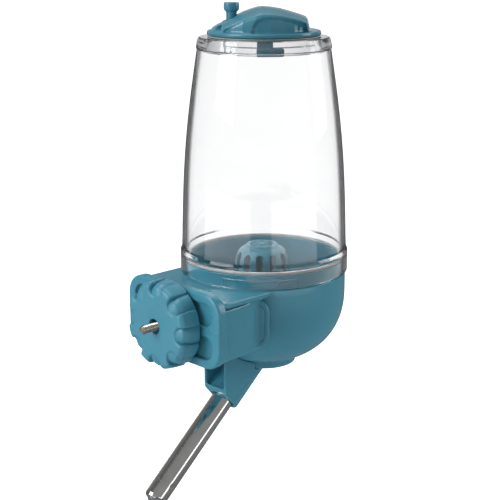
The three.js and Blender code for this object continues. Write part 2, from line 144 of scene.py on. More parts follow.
class Table:
    """A polygon's signed distance, sampled once in two coordinates and read back smoothly."""

    def __init__(self, pts, lo, hi, h=0.25):
        self.lo, self.h = np.array(lo, float), h
        n = np.ceil((np.array(hi) - self.lo) / h).astype(int) + 1
        a = lo[0] + h * np.arange(n[0])[:, None]
        b = lo[1] + h * np.arange(n[1])[None, :]
        self.v = poly(a, b, pts)

    def __call__(self, a, b):
        a, b = np.broadcast_arrays(a, b)
        u = np.clip((a - self.lo[0]) / self.h, 0, self.v.shape[0] - 1.001)
        w = np.clip((b - self.lo[1]) / self.h, 0, self.v.shape[1] - 1.001)
        i, j = u.astype(int), w.astype(int)
        u, w = u - i, w - j
        v = self.v
        return (v[i, j] * (1 - u) + v[i + 1, j] * u) * (1 - w) + (v[i, j + 1] * (1 - u) + v[i + 1, j + 1] * u) * w


def nets(f, lo, hi, h, steps=4):
    """The skin of f < 0 as quads: one point in each cell that the skin crosses, then drawn on to the skin."""
    lo, hi = np.array(lo, float), np.array(hi, float)
    n = np.ceil((hi - lo) / h).astype(int) + 1
    ax = [lo[i] + h * np.arange(n[i]) for i in range(3)]
    X, Y, Z = np.meshgrid(*ax, indexing="ij", sparse=True)
    F = np.broadcast_to(f(X, Y, Z), tuple(n)).astype(np.float64)
    S = F < 0
    count = np.zeros(tuple(n - 1), np.int8)
    for dx in (0, 1):
        for dy in (0, 1):
            for dz in (0, 1):
                count += S[dx : n[0] - 1 + dx, dy : n[1] - 1 + dy, dz : n[2] - 1 + dz]
    active = (count > 0) & (count < 8)
    index = np.full(active.shape, -1, np.int64)
    ci, cj, ck = np.nonzero(active)
    index[ci, cj, ck] = np.arange(len(ci))
    P = np.zeros((len(ci), 3))
    C = np.zeros(len(ci))
    for axis in range(3):
        o1, o2 = [a for a in range(3) if a != axis]
        for a in (0, 1):
            for b in (0, 1):
                off = [0, 0, 0]
                off[o1], off[o2] = a, b
                end = list(off)
                end[axis] = 1
                f0 = F[ci + off[0], cj + off[1], ck + off[2]]
                f1 = F[ci + end[0], cj + end[1], ck + end[2]]
                hit = (f0 < 0) != (f1 < 0)
                t = np.where(hit, f0 / np.where(hit, f0 - f1, 1), 0)
                p = np.tile(np.array(off, float), (len(ci), 1))
                p[:, axis] = t
                P[hit] += p[hit]
                C[hit] += 1
    V = lo + h * (np.stack([ci, cj, ck], 1) + P / C[:, None])
    quads = []
    for axis in range(3):
        o1, o2 = [a for a in range(3) if a != axis]
        a = [slice(None)] * 3
        b = [slice(None)] * 3
        a[axis], b[axis] = slice(0, -1), slice(1, None)
        change = S[tuple(a)] != S[tuple(b)]
        inner = [slice(None)] * 3
        inner[o1] = slice(1, -1)
        inner[o2] = slice(1, -1)
        at = np.argwhere(change[tuple(inner)])
        at[:, o1] += 1
        at[:, o2] += 1
        below = S[tuple(a)][at[:, 0], at[:, 1], at[:, 2]]
        ring = []
        for d1, d2 in ((-1, -1), (0, -1), (0, 0), (-1, 0)):
            c = at.copy()
            c[:, o1] += d1
            c[:, o2] += d2
            ring.append(index[c[:, 0], c[:, 1], c[:, 2]])
        q = np.stack(ring, 1)
        flip = below if axis != 1 else ~below
        q[~flip] = q[~flip][:, ::-1]
        quads.append(q)
    Q = np.concatenate(quads)
    e = 0.02
    start = V.copy()
    for _ in range(steps):
        x, y, z = V[:, 0], V[:, 1], V[:, 2]
        v = f(x, y, z)
        g = np.stack(
            [
                (f(x + e, y, z) - f(x - e, y, z)) / (2 * e),
                (f(x, y + e, z) - f(x, y - e, z)) / (2 * e),
                (f(x, y, z + e) - f(x, y, z - e)) / (2 * e),
            ],
            1,
        )
        g2 = np.maximum((g * g).sum(1), 0.05)
        move = -(v / g2)[:, None] * g
        V = V + np.clip(move, -0.3 * h, 0.3 * h)
        V = start + np.clip(V - start, -0.7 * h, 0.7 * h)
    return V, Q


# ---------------------------------------------------------------- turned pieces
def fillet(pts, closed=True, n=5):
    """Points (a, b) or (a, b, radius): the corner is rounded by its radius."""
    P = [(float(p[0]), float(p[1]), float(p[2]) if len(p) > 2 else 0.0) for p in pts]
    out = []
    N = len(P)
    for i in range(N):
        b = P[i]
        if b[2] <= 0 or (not closed and i in (0, N - 1)):
            out.append((b[0], b[1]))
            continue
        B = np.array(b[:2])
        u = np.array(P[i - 1][:2]) - B
        v = np.array(P[(i + 1) % N][:2]) - B
        lu, lv = np.hypot(*u), np.hypot(*v)
        u, v = u / lu, v / lv
        ang = math.acos(max(-1, min(1, float(u @ v))))
        t = min(b[2] / math.tan(ang / 2), 0.49 * lu, 0.49 * lv)
        r = t * math.tan(ang / 2)
        c = B + (u + v) / np.hypot(*(u + v)) * (r / math.sin(ang / 2))
        p0, p1 = B + u * t, B + v * t
        a0 = math.atan2(*(p0 - c)[::-1])
        a1 = math.atan2(*(p1 - c)[::-1])
        while a1 - a0 > math.pi:
            a1 -= 2 * math.pi
        while a1 - a0 < -math.pi:
            a1 += 2 * math.pi
        for k in range(n + 1):
            a = a0 + (a1 - a0) * k / n
            out.append((c[0] + r * math.cos(a), c[1] + r * math.sin(a)))
    return out


def dense(pts, step, closed=True):
    """More points along long straight runs."""
    out = []
    N = len(pts)
    for i in range(N if closed else N - 1):
        a, b = np.array(pts[i], float), np.array(pts[(i + 1) % N], float)
        m = max(1, int(math.ceil(np.hypot(*(b - a)) / step)))
        for k in range(m):
            out.append(tuple(a + (b - a) * k / m))
    if not closed:
        out.append(tuple(pts[-1]))
    return out


def lathe(profile, seg=128, closed=True, mod=None, extra=()):
    """Turns (r, z) points about +Z. mod(a, R, Z) may move the radii: a is in degrees. Returns points and faces about the origin."""
    prof = np.array(profile, float)
    ang = np.concatenate([np.arange(seg) * 360.0 / seg, np.mod(np.array(list(extra), float), 360)])
    ang = np.unique(np.round(ang, 5))
    keep = [0]
    for i in range(1, len(ang)):
        if ang[i] - ang[keep[-1]] > 0.02:
            keep.append(i)
    ang = ang[keep]
    n, M = len(ang), len(prof)
    R = np.tile(prof[:, 0], (n, 1))
    Z = np.tile(prof[:, 1], (n, 1))
    A = np.tile(ang[:, None], (1, M))
    if mod is not None:
        R, Z = mod(A, R.copy(), Z.copy())
    rad = np.radians(A)
    V = np.stack([R * np.cos(rad), R * np.sin(rad), Z], 2).reshape(-1, 3)
    faces = []
    idx = np.arange(n * M).reshape(n, M)
    poles = {}
    verts = [V]
    if not closed:
        for end in (0, M - 1):
            if prof[end, 0] < 1e-6:
                poles[end] = len(V) + len(poles)
                verts.append(np.array([[0, 0, prof[end, 1]]]))
    V = np.concatenate(verts)
    cols = M if closed else M - 1
    for j in range(cols):
        k = (j + 1) % M
        a, b = idx[:, j], idx[:, k]
        a2, b2 = np.roll(a, -1), np.roll(b, -1)
        if not closed and j in poles:
            faces += [(poles[j], int(q), int(p)) for p, q in zip(b, b2)]
        elif not closed and k in poles:
            faces += [(int(p), int(q), poles[k]) for p, q in zip(a, a2)]
        else:
            faces += np.stack([a, a2, b2, b], 1).tolist()
    used = np.zeros(len(V), bool)
    for f in faces:
        used[list(f)] = True
    new = np.cumsum(used) - 1
    V = V[used]
    faces = [tuple(int(new[i]) for i in f) for f in faces]
    return V, faces


def volume(V, faces):
    total = 0.0
    for f in faces[:: max(1, len(faces) // 200000)]:
        a = V[f[0]]
        for i in range(1, len(f) - 1):
            total += float(np.dot(a, np.cross(V[f[i]], V[f[i + 1]])))
    return total


def signed(V, Q):
    Q = np.asarray(Q)
    a, b, c, d = (V[Q[:, i]] for i in range(4))
    return float((a * (np.cross(b, c) + np.cross(c, d))).sum())


def to_axis(V):
    return V + np.array([0, AXIS_Y, 0])


def rot_z(V, deg):
    c, s = math.cos(math.radians(deg)), math.sin(math.radians(deg))
    return np.stack([V[:, 0] * c - V[:, 1] * s, V[:, 0] * s + V[:, 1] * c, V[:, 2]], 1)


SP = np.array([0.0, 31.33, -61.84])
SU = np.array([0.0, 0.7611, 0.6486])
SN = np.array([0.0, 0.6486, -0.7611])


def in_tube(V):
    """Local z runs up the tube, local x stays sideways, local y is the tube's lower side."""
    return SP + np.outer(V[:, 0], [1.0, 0, 0]) + np.outer(V[:, 1], SN) + np.outer(V[:, 2], SU)


def along_y(V):
    """Local z becomes -Y, local x stays, local y becomes +Z."""
    return np.stack([V[:, 0], -V[:, 2], V[:, 1]], 1)


pieces = {}


def piece(node, V, faces, mat, sharp=35.0, nodes=None):
    faces = faces.tolist() if isinstance(faces, np.ndarray) else faces
    quads = [f for f in faces if len(f) == 4]
    vol = signed(V, quads) if len(quads) > len(faces) // 2 else 0
    if abs(vol) < 1e-6 or len(quads) != len(faces):
        vol = volume(V, faces)
    if vol < 0:
        faces = [tuple(reversed(f)) for f in faces]
    me = bpy.data.meshes.new(node + "_fine")
    me.from_pydata((V * MM).tolist(), [], faces)
    me.update()
    ob = bpy.data.objects.new(node + "_fine", me)
    SCENE.collection.objects.link(ob)
    me.polygons.foreach_set("use_smooth", [True] * len(me.polygons))
    me.set_sharp_from_angle(angle=math.radians(sharp))
    me.materials.append(mat)
    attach(ob, frame["nodes"][node]["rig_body"])
    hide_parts(*(nodes or [node]))
    pieces[node] = ob
    return ob


# ---------------------------------------------------------------- materials
def new_material(name):
    m = bpy.data.materials.new(name)
    m.use_nodes = True
    nt = m.node_tree
    nt.nodes.clear()
    out = nt.nodes.new("ShaderNodeOutputMaterial")
    b = nt.nodes.new("ShaderNodeBsdfPrincipled")
    nt.links.new(b.outputs[0], out.inputs[0])
    co = nt.nodes.new("ShaderNodeTexCoord")
    return m, nt, b, out, co.outputs["Object"]


def noise(nt, co, scale, detail=3.0, rough=0.5, distortion=0.0):
    n = nt.nodes.new("ShaderNodeTexNoise")
    n.inputs["Scale"].default_value = scale
    n.inputs["Detail"].default_value = detail
    n.inputs["Roughness"].default_value = rough
    n.inputs["Distortion"].default_value = distortion
    nt.links.new(co, n.inputs["Vector"])
    return n.outputs["Fac"]


def ramp(nt, fac, stops):
    r = nt.nodes.new("ShaderNodeValToRGB")
    e = r.color_ramp.elements
    while len(e) > 1:
        e.remove(e[-1])
    e[0].position, e[0].color = stops[0][0], stops[0][1]
    for pos, col in stops[1:]:
        n = e.new(pos)
        n.color = col
    nt.links.new(fac, r.inputs["Fac"])
    return r.outputs["Color"]


def remap(nt, fac, a, b, lo, hi):
    m = nt.nodes.new("ShaderNodeMapRange")
    m.inputs["From Min"].default_value = a
    m.inputs["From Max"].default_value = b
    m.inputs["To Min"].default_value = lo
    m.inputs["To Max"].default_value = hi
    nt.links.new(fac, m.inputs["Value"])
    return m.outputs["Result"]


def bump(nt, height, strength, distance, prev=None):
    b = nt.nodes.new("ShaderNodeBump")
    b.inputs["Strength"].default_value = strength
    b.inputs["Distance"].default_value = distance
    nt.links.new(height, b.inputs["Height"])
    if prev is not None:
        nt.links.new(prev, b.inputs["Normal"])
    return b.outputs["Normal"]


def plastic(name, dark, light, rough, coat=0.0, grain=0.00002, spec=0.5):
    """Moulded plastic: slow shifts of tone from the melt's flow, a fine moulded grain, and gloss that isn't quite even."""
    m, nt, b, out, co = new_material(name)
    slow = noise(nt, co, 26, 3, 0.55, 0.4)
    col = ramp(nt, slow, [(0.30, (*dark, 1)), (0.70, (*light, 1))])
    nt.links.new(col, b.inputs["Base Color"])
    even = noise(nt, co, 45, 1, 0.4)
    nt.links.new(remap(nt, even, 0.3, 0.7, rough - 0.015, rough + 0.025), b.inputs["Roughness"])
    fine = noise(nt, co, 900, 1, 0.4)
    wave = noise(nt, co, 150, 1, 0.5)
    n1 = bump(nt, wave, 0.05, grain * 3)
    nt.links.new(bump(nt, fine, 0.05, grain, n1), b.inputs["Normal"])
    b.inputs["IOR"].default_value = 1.5
    b.inputs["Specular IOR Level"].default_value = spec
    b.inputs["Coat Weight"].default_value = coat
    b.inputs["Coat Roughness"].default_value = 0.12
    return m


def clear(name, face, rough, lamps):
    """Clear moulded plastic: face gives its tint from square on to edge on. The near-black end of the tint towards edge
    on is painted shade for the dark rims of the walls, darker than their length of wall alone would make them. Lamps
    reach through it, so what it holds is lit.
    """
    m, nt, b, out, co = new_material(name)
    b.inputs["IOR"].default_value = 1.47
    b.inputs["Transmission Weight"].default_value = 1.0
    lw = nt.nodes.new("ShaderNodeLayerWeight")
    lw.inputs["Blend"].default_value = 0.5
    # painted shade: the tint falls towards black as the surface turns edge on, darkening every rim
    edge = ramp(nt, lw.outputs["Facing"], [(p, (*c, 1)) for p, c in face])
    slow = ramp(nt, noise(nt, co, 40, 2, 0.5), [(0.3, (0.975, 0.978, 0.978, 1)), (0.7, (1, 1, 1, 1))])
    mix = nt.nodes.new("ShaderNodeMix")
    mix.data_type = "RGBA"
    mix.blend_type = "MULTIPLY"
    mix.inputs["Factor"].default_value = 1.0
    nt.links.new(edge, mix.inputs["A"])
    nt.links.new(slow, mix.inputs["B"])
    nt.links.new(mix.outputs["Result"], b.inputs["Base Color"])
    nt.links.new(remap(nt, noise(nt, co, 300, 3, 0.6), 0.3, 0.7, rough, rough + 0.02), b.inputs["Roughness"])
    nt.links.new(bump(nt, noise(nt, co, 60, 2, 0.4), 0.12, 0.00004), b.inputs["Normal"])
    lamp = nt.nodes.new("ShaderNodeLightPath")
    thru = nt.nodes.new("ShaderNodeBsdfTransparent")
    thru.inputs["Color"].default_value = (*lamps, 1)
    both = nt.nodes.new("ShaderNodeMixShader")
    nt.links.new(lamp.outputs["Is Shadow Ray"], both.inputs[0])
    nt.links.new(b.outputs[0], both.inputs[1])
    nt.links.new(thru.outputs[0], both.inputs[2])
    nt.links.new(both.outputs[0], out.inputs[0])
    return m


def metal(name, dark, light, rough, scratch, grain=0.00001, axis=None):
    """Bright metal: drawn or turned marks that run one way, and smudged gloss."""
    m, nt, b, out, co = new_material(name)
    b.inputs["Metallic"].default_value = 1.0
    slow = noise(nt, co, 90, 4, 0.6)
    nt.links.new(ramp(nt, slow, [(0.3, (*dark, 1)), (0.7, (*light, 1))]), b.inputs["Base Color"])
    vec = co
    if axis is not None:
        mp = nt.nodes.new("ShaderNodeMapping")
        mp.inputs["Rotation"].default_value = axis[0]
        mp.inputs["Scale"].default_value = axis[1]
        nt.links.new(co, mp.inputs["Vector"])
        vec = mp.outputs["Vector"]
    marks = noise(nt, vec, scratch, 4, 0.65)
    nt.links.new(remap(nt, marks, 0.3, 0.7, max(0.02, rough - 0.04), rough + 0.06), b.inputs["Roughness"])
    nt.links.new(bump(nt, marks, 0.15, grain), b.inputs["Normal"])
    return m


def silicone(name, dark, light):
    m, nt, b, out, co = new_material(name)
    nt.links.new(ramp(nt, noise(nt, co, 120, 3), [(0.3, (*dark, 1)), (0.7, (*light, 1))]), b.inputs["Base Color"])
    nt.links.new(remap(nt, noise(nt, co, 500, 3), 0.3, 0.7, 0.42, 0.55), b.inputs["Roughness"])
    nt.links.new(bump(nt, noise(nt, co, 1800, 2), 0.3, 0.00002), b.inputs["Normal"])
    b.inputs["Subsurface Weight"].default_value = 0.25
    b.inputs["Subsurface Radius"].default_value = (0.002, 0.002, 0.002)
    return m


# All teal pieces are one plastic. The lid and inner copies are painted shade, darker tones for the lesser light they
# get, and the knob copy is painted light, a lighter tone; the knob's roughness and grain are its own finish
TEAL = plastic("teal_body", (0.056, 0.262, 0.362), (0.062, 0.276, 0.380), 0.25)
TEAL_LID_SHADED = plastic("teal_lid_painted_shade", (0.054, 0.235, 0.322), (0.060, 0.248, 0.338), 0.24)
TEAL_KNOB_LIT = plastic("teal_knob_painted_light", (0.058, 0.270, 0.372), (0.064, 0.284, 0.390), 0.36, grain=0.00003)
TEAL_IN_SHADED = plastic("teal_inner_painted_shade", (0.054, 0.245, 0.335), (0.060, 0.260, 0.352), 0.33)
LAMPS = (0.60, 0.61, 0.61)
# painted shade: each clear tint darkens towards edge on, to near black on the tank's outside and grey on its inside;
# the filler ring's tint is grey even square on
CLEAR = clear("clear_tank", [(0.0, (0.99, 0.99, 0.99)), (0.50, (0.97, 0.972, 0.975)), (0.59, (0.86, 0.86, 0.87)), (0.63, (0.30, 0.30, 0.31)), (0.68, (0.03, 0.03, 0.032)), (1.0, (0.015, 0.015, 0.016))], 0.01, LAMPS)
CLEAR_IN = clear("clear_tank_inside", [(0.0, (0.99, 0.99, 0.99)), (0.70, (0.97, 0.97, 0.975)), (1.0, (0.60, 0.60, 0.62))], 0.01, LAMPS)
CLEAR_RING = clear("clear_ring", [(0.0, (0.80, 0.80, 0.82)), (0.17, (0.68, 0.68, 0.70)), (0.30, (0.52, 0.52, 0.54)), (0.50, (0.27, 0.27, 0.285)), (0.8, (0.15, 0.15, 0.16)), (1.0, (0.12, 0.12, 0.13))], 0.05, (0.70, 0.70, 0.70))
STEEL = metal("polished_steel", (0.60, 0.595, 0.585), (0.70, 0.695, 0.685), 0.10, 900, 0.000006, ((math.radians(40.4), 0, 0), (1, 1, 0.02)))
ZINC = metal("plated_steel", (0.50, 0.47, 0.42), (0.62, 0.585, 0.53), 0.24, 700)
SPRING = metal("spring_steel", (0.50, 0.50, 0.49), (0.60, 0.60, 0.59), 0.20, 900)
SILICONE = silicone("silicone", (0.50, 0.52, 0.52), (0.58, 0.60, 0.60))


# ---------------------------------------------------------------- tank
def tank_radius(z):
    zs = [30.0, 32.6, 50, 70, 95, 118, 138, 145.7]
    rs = [48.3, 48.2, 47.62, 46.8, 44.9, 42.2, 39.3, 38.1]
    c = np.polyfit(np.array(zs) - 90, rs, 4)
    return np.polyval(c, z - 90)


tank_z = np.linspace(33.0, 145.2, 46)
outer = [(49.1, 17.4, 0.5), (49.1, 29.6, 0.8), (tank_radius(31.2), 31.2, 0.8)]
outer += [(float(tank_radius(z)), float(z)) for z in tank_z[1:]] + [(38.1, 145.7, 0.35)]
inner = [(35.5, 145.7, 0.35)] + [(float(tank_radius(z)) - 2.6, float(z)) for z in tank_z[::-1]]
inner += [(45.5, 31.2), (45.5, 27.0, 0.35), (46.9, 27.0, 0.35)]
inner += [(46.9, z) for z in (24, 22.62, 22.4, 20.6, 18.8, 18.58)] + [(46.9, 17.4, 0.3)]
groove_edges = []
for a in (90, 210, 330):
    for e in (a - 43, a + 8, a - 27):
        groove_edges += [e - 0.12, e + 0.12]


def grooves(A, R, Z):
    for a in (90, 210, 330):
        d = np.mod(A - a + 180, 360) - 180
        slot = (d > -43) & (d < 8) & (Z > 18.7) & (Z < 22.5)
        door = (d > -43) & (d < -27) & (Z < 18.7)
        hit = (slot | door) & (np.abs(R - 46.9) < 0.45) & (Z < 24)
        R = np.where(hit, R + 1.0, R)
    return R, Z


V, F = lathe(fillet(outer + inner), 168, True, grooves, groove_edges)
tank_ob = piece("tank_shell", to_axis(V), F, CLEAR)
tank_ob.data.materials.append(CLEAR_IN)
for pg in tank_ob.data.polygons:
    out_dir = Vector((pg.center.x, pg.center.y - AXIS_Y * MM, 0)).normalized()
    if pg.normal.dot(out_dir) < 0.35:
        pg.material_index = 1

ring = [
    (38.6, 146.0, 0.4), (38.15, 149.0), (37.4, 152.1, 0.5), (36.6, 152.5, 0.3), (33.9, 152.5), (33.3, 152.5),
    (30.7, 152.5, 0.4), (30.7, 148.4, 0.4), (33.4, 148.4), (33.4, 148.2), (33.4, 145.4), (33.4, 145.2), (33.4, 144.4, 0.4),
    (35.2, 144.4, 0.4), (35.2, 146.0, 0.2),
]
LUGS = (-84, 36, 156)
ring_edges = []
for a in LUGS:
    c = a + 105
    s = a + 4
    for e in (c - 14.6, c + 14.6, s - 3, s + 3):
        ring_edges += [e - 0.15, e + 0.15]


def ring_form(A, R, Z):
    for a in LUGS:
        d = np.mod(A - (a + 105) + 180, 360) - 180
        hit = (np.abs(d) < 14.6) & (R < 33.29) & (Z > 148.3)
        R = np.where(hit, np.maximum(R, 33.2 + (R - 30.7) * 0.02), R)
        d = np.mod(A - (a + 4) + 180, 360) - 180
        hit = (np.abs(d) < 3) & (np.abs(R - 33.4) < 0.02) & (Z > 145.3) & (Z < 148.45)
        R = np.where(hit, 31.2, R)
    return R, Z


V, F = lathe(fillet(ring), 160, True, ring_form, ring_edges)
piece("filler_ring", to_axis(V), F, CLEAR_RING)

V, F = lathe(fillet([(44.6, 25.2, 0.5), (46.2, 25.2, 0.5), (46.2, 26.8, 0.5), (44.6, 26.8, 0.5)]), 128)
piece("tank_gasket", to_axis(V), F, SILICONE)

# ---------------------------------------------------------------- lid
HUMP = [
    (27.2, 153.0), (27.1, 155.2), (26.5, 156.6), (25.3, 158.6), (24.8, 160.6), (24.7, 162.2), (23.7, 163.5), (20.2, 164.8), (14.6, 166.5), (9, 168),
    (3.4, 168.85), (-1.1, 169.2), (-3.9, 168.85), (-7.9, 167.7), (-11.8, 166.3), (-14.6, 164.9), (-18, 162.9), (-22.5, 161.0), (-26, 159.4), (-29.2, 157.6), (-31.0, 156.0), (-31.6, 153.0),
]
SCOOP_A = [(26.5, 150), (25.0, 157), (23.4, 161.2), (18.5, 163.0), (10, 165.2), (2, 166.2), (-4, 165.7), (-10, 163.6), (-15.5, 161.2), (-20.0, 158.8), (-22.8, 156.4), (-24.0, 154), (-24.2, 150)]
SCOOP_B = [(25.5, 150), (24.2, 157), (22.6, 160.4), (17.5, 162.2), (10, 164.2), (3.5, 164.7), (-1.5, 163.9), (-5.0, 161.8), (-7.2, 158.4), (-8.0, 154), (-8.2, 150)]
POCKET = [(-30.4, 156.5), (-23.4, 156.5), (-23.4, 159.2), (-26.2, 158.2)]
PLAN = [
    (28.6, 0), (28.0, 5), (27.0, 9.5), (25.6, 14.5), (23.6, 19.4), (18.4, 24.4), (12.2, 28), (4.2, 30.3), (-4.2, 30.3), (-12.2, 28), (-18.8, 24.1), (-24.4, 18.4), (-28.2, 11.8),
    (-30.5, 4.2), (-30.7, 0), (-30.7, -8), (28.6, -8),
]


def smooth01(t):
    t = np.clip(t, 0, 1)
    return t * t * (3 - 2 * t)


hump_t = Table(HUMP, (-40, 145), (36, 176), 0.2)
scoop_a = Table(SCOOP_A, (-40, 145), (36, 176), 0.2)
scoop_b = Table(SCOOP_B, (-40, 145), (36, 176), 0.2)
pocket_t = Table(POCKET, (-40, 145), (36, 176), 0.2)
plan_t = Table(PLAN, (-40, -2), (36, 40), 0.25)


def lid(x, y, z):
    r = np.hypot(x, y)
    side = np.abs(y)
    disc = ext(r - 32.3, band(z, 153.4, 156.0), 0.9)
    # the hump: its crown falls a little towards both sides
    fall = (side / 26.0) ** 2 * (2.2 + 0.8 * smooth01((5 - x) / 20))
    away = 0.06 * np.maximum(side - 7, 0)
    depth = 1.5 * smooth01(-scoop_a(x, z - away) / 2.0) + 1.5 * smooth01(-scoop_b(x, z - away) / 2.8)
    wall = plan_t(x, side) + depth * smooth01((side - 8) / 6)
    grip = smax(hump_t(x, z + fall), wall, 2.6)
    grip = smax(grip, 154 - z, 0.5)
    f = smin(disc, grip, 1.2)
    f = np.maximum(f, 153.4 - z)
    f = smax(f, -ext(pocket_t(x, z - away), 10.5 - side, 0.4), 0.7)
    # hollow below, clear of the vent
    void = smax(np.maximum(hump_t(x, z + fall + 2.6), plan_t(x, side) + 3.6), -12 - x, 1.5)
    f = smax(f, -np.maximum(void, 150 - z), 0.5)
    rv = np.hypot(x + 18.3, y)
    # boss round the plunger
    f = smin(f, ext(rv - 5.0, band(z, 154, 161.2), 0.8), 1.2)
    f = smax(f, -np.maximum(rv - 3.6, 156.0 - z), 0.35)
    # room for the plunger's head when it is pressed
    f = smax(f, -np.maximum(rv - 5.0, 162.4 - z), 0.3)
    f = smax(f, -np.maximum(rv - 2.2, 150 - z), 0.25)
    return f


V, F = nets(lid, (-33.4, -33.4, 152.4), (33.4, 33.4, 170.4), 0.45)
piece("lid_cap", to_axis(rot_z(V, 45)), F, TEAL_LID_SHADED, sharp=50)

def plug(x, y, z):
    """The plate under the lid, with three tabs and their bayonet lugs."""
    r = np.hypot(x, y)
    f = ext(r - 30.2, band(z, 151.2, 153.2), 0.3)
    ang = np.degrees(np.arctan2(y, x))
    for a in LUGS:
        arc = (np.abs(np.mod(ang - a + 180, 360) - 180) - 13) * math.pi / 180 * r
        stalk = (np.abs(np.mod(ang - a + 5.0 + 180, 360) - 180) - 8) * math.pi / 180 * r
        tab = ext(ext(stalk, band(r, 27.8, 30.2), 0.5), band(z, 143.8, 151.8), 0.3)
        tab = np.minimum(tab, ext(ext(arc, band(r, 27.8, 30.2), 0.5), band(z, 143.8, 148.0), 0.3))
        lug = ext(ext(arc, band(r, 28.6, 32.9), 0.7), band(z, 143.8, 148.0), 0.5)
        f = smin(f, smin(tab, lug, 0.5), 0.8)
    return smax(f, 2.2 - np.hypot(x + 18.3, y), 0.2)


V, F = nets(plug, (-34, -34, 143), (34, 34, 154), 0.5)
piece("lid_plug", to_axis(rot_z(V, 45)), F, TEAL_IN_SHADED, sharp=50)

V, F = lathe(fillet([(30.75, 152.7, 0.2), (32.0, 152.7, 0.2), (32.0, 153.2, 0.2), (30.75, 153.2, 0.2)]), 120)
piece("lid_gasket", to_axis(rot_z(V, 45)), F, SILICONE)


def vent(V):
    return to_axis(rot_z(V + np.array([-18.3, 0, 0]), 45))


stem = fillet([
    (0, 147.0), (1.8, 147.0, 0.3), (1.8, 161.8, 0.2), (3.0, 161.8, 0.3), (3.0, 166.0, 0.6), (4.0, 167.0, 0.5), (4.35, 167.9, 0.4), (4.35, 171.4, 0.8), (3.0, 171.25, 0.4), (0, 171.1),
], False)
V, F = lathe(dense(stem, 1.5, False), 64, False)
piece("vent_stem", vent(V), F, TEAL_LID_SHADED)


def coil(radius, wire, z0, z1, turns, n=36, k=10):
    """A compression spring with its end turns laid flat."""
    count = int(turns * n) + 1
    t = np.linspace(0, turns, count)
    rise = np.clip((t - 0.9) / (turns - 1.8), 0, 1)
    low = wire + np.minimum(t, 0.9) / 0.9 * wire * 0.9
    span = (z1 - wire) - (z0 + wire)
    z = z0 + wire + rise * (span - 3.6 * wire) + np.minimum(t, 0.9) / 0.9 * 1.8 * wire + np.clip((t - (turns - 0.9)) / 0.9, 0, 1) * 1.8 * wire
    c = np.stack([radius * np.cos(2 * math.pi * t), radius * np.sin(2 * math.pi * t), z], 1)
    T = np.gradient(c, axis=0)
    T /= np.linalg.norm(T, axis=1)[:, None]
    N = np.stack([np.cos(2 * math.pi * t), np.sin(2 * math.pi * t), np.zeros(count)], 1)
    B = np.cross(T, N)
    a = 2 * math.pi * np.arange(k) / k
    P = c[:, None] + wire * (np.cos(a)[None, :, None] * N[:, None] + np.sin(a)[None, :, None] * B[:, None])
    V = P.reshape(-1, 3)
    faces = []
    idx = np.arange(count * k).reshape(count, k)
    for j in range(k):
        j2 = (j + 1) % k
        faces += np.stack([idx[:-1, j], idx[1:, j], idx[1:, j2], idx[:-1, j2]], 1).tolist()
    faces.append(tuple(int(i) for i in idx[0]))
    faces.append(tuple(int(i) for i in idx[-1][::-1]))
    return V, faces


V, F = coil(2.72, 0.36, 156.32, 161.5, 5.0)
spring = piece("vent_spring", vent(V), F, SPRING)
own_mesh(spring)
V, F = lathe(fillet([(2.05, 149.4, 0.2), (4.6, 149.4, 0.4), (4.6, 150.9, 0.4), (2.05, 150.9, 0.2)]), 56)
piece("vent_seal", vent(V), F, SILICONE)
V, F = lathe(fillet([(2.05, 148.0, 0.15), (3.4, 148.0, 0.2), (3.4, 149.1, 0.2), (2.05, 149.1, 0.15)]), 48)
piece("vent_clip", vent(V), F, SPRING)


# ---------------------------------------------------------------- bowl
def bowl_arc(r0, depth, u0, u1, n):
    u = np.radians(np.linspace(u0, u1, n))
    return [(float(r0 * max(0, math.cos(t)) ** (2 / 2.3)), float(6 - depth * max(0, math.sin(t)) ** (2 / 2.3))) for t in u]


arc_out = bowl_arc(48, 44, 0, 66, 30)
arc_in = bowl_arc(45.2, 41.2, 4, 90, 34)
arc_in[-1] = (0.0, arc_in[-1][1])
bowl = [(0, -39.4), (15.2, -39.4, 0.3), (16.0, -40, 0.5), (18.8, -40, 0.8), (18.8, -36.4, 0.5)]
bowl += arc_out[::-1]
bowl += [(48, 9.0), (48, 12.5), (48, 16.8, 0.6), (46.3, 16.8, 0.3)]
bowl += [(46.3, z) for z in (18.98, 19.2, 20.6, 22.0, 22.22)] + [(46.3, 25.0, 0.45), (44.4, 25.0, 0.45), (44.4, 12.0, 1.5)]
bowl += arc_in
lug_edges = []
for a in (90, 210, 330):
    for e in (a - 6, a + 6):
        lug_edges += [e - 0.12, e + 0.12]


def bowl_lugs(A, R, Z):
    for a in (90, 210, 330):
        d = np.mod(A - a + 180, 360) - 180
        hit = (np.abs(d) < 6) & (Z > 19.1) & (Z < 22.1) & (np.abs(R - 46.3) < 0.05)
        R = np.where(hit, 47.5, R)
    return R, Z


V, F = lathe(fillet(bowl, False), 168, False, bowl_lugs, lug_edges)
bowl_ob = piece("base_bowl", to_axis(V), F, TEAL)


def cut(ob, V, faces):
    """Takes a closed shape out of a piece."""
    if volume(V, faces) < 0:
        faces = [tuple(reversed(f)) for f in faces]
    me = bpy.data.meshes.new("cutter")
    me.from_pydata((V * MM).tolist(), [], faces)
    tool = bpy.data.objects.new("cutter", me)
    SCENE.collection.objects.link(tool)
    mod = ob.modifiers.new("cut", "BOOLEAN")
    mod.operation = "DIFFERENCE"
    mod.solver = "EXACT"
    mod.object = tool
    bpy.context.view_layer.update()
    done = bpy.data.meshes.new_from_object(ob.evaluated_get(bpy.context.evaluated_depsgraph_get()))
    ob.modifiers.clear()
    old = ob.data
    ob.data = done
    bpy.data.meshes.remove(old)
    bpy.data.objects.remove(tool)
    bpy.data.meshes.remove(me)
    ob.data.set_sharp_from_angle(angle=math.radians(35))


V, F = lathe([(0, 24), (3.2, 24), (3.2, 50), (0, 50)], 40, False)
cut(bowl_ob, in_tube(V), F)

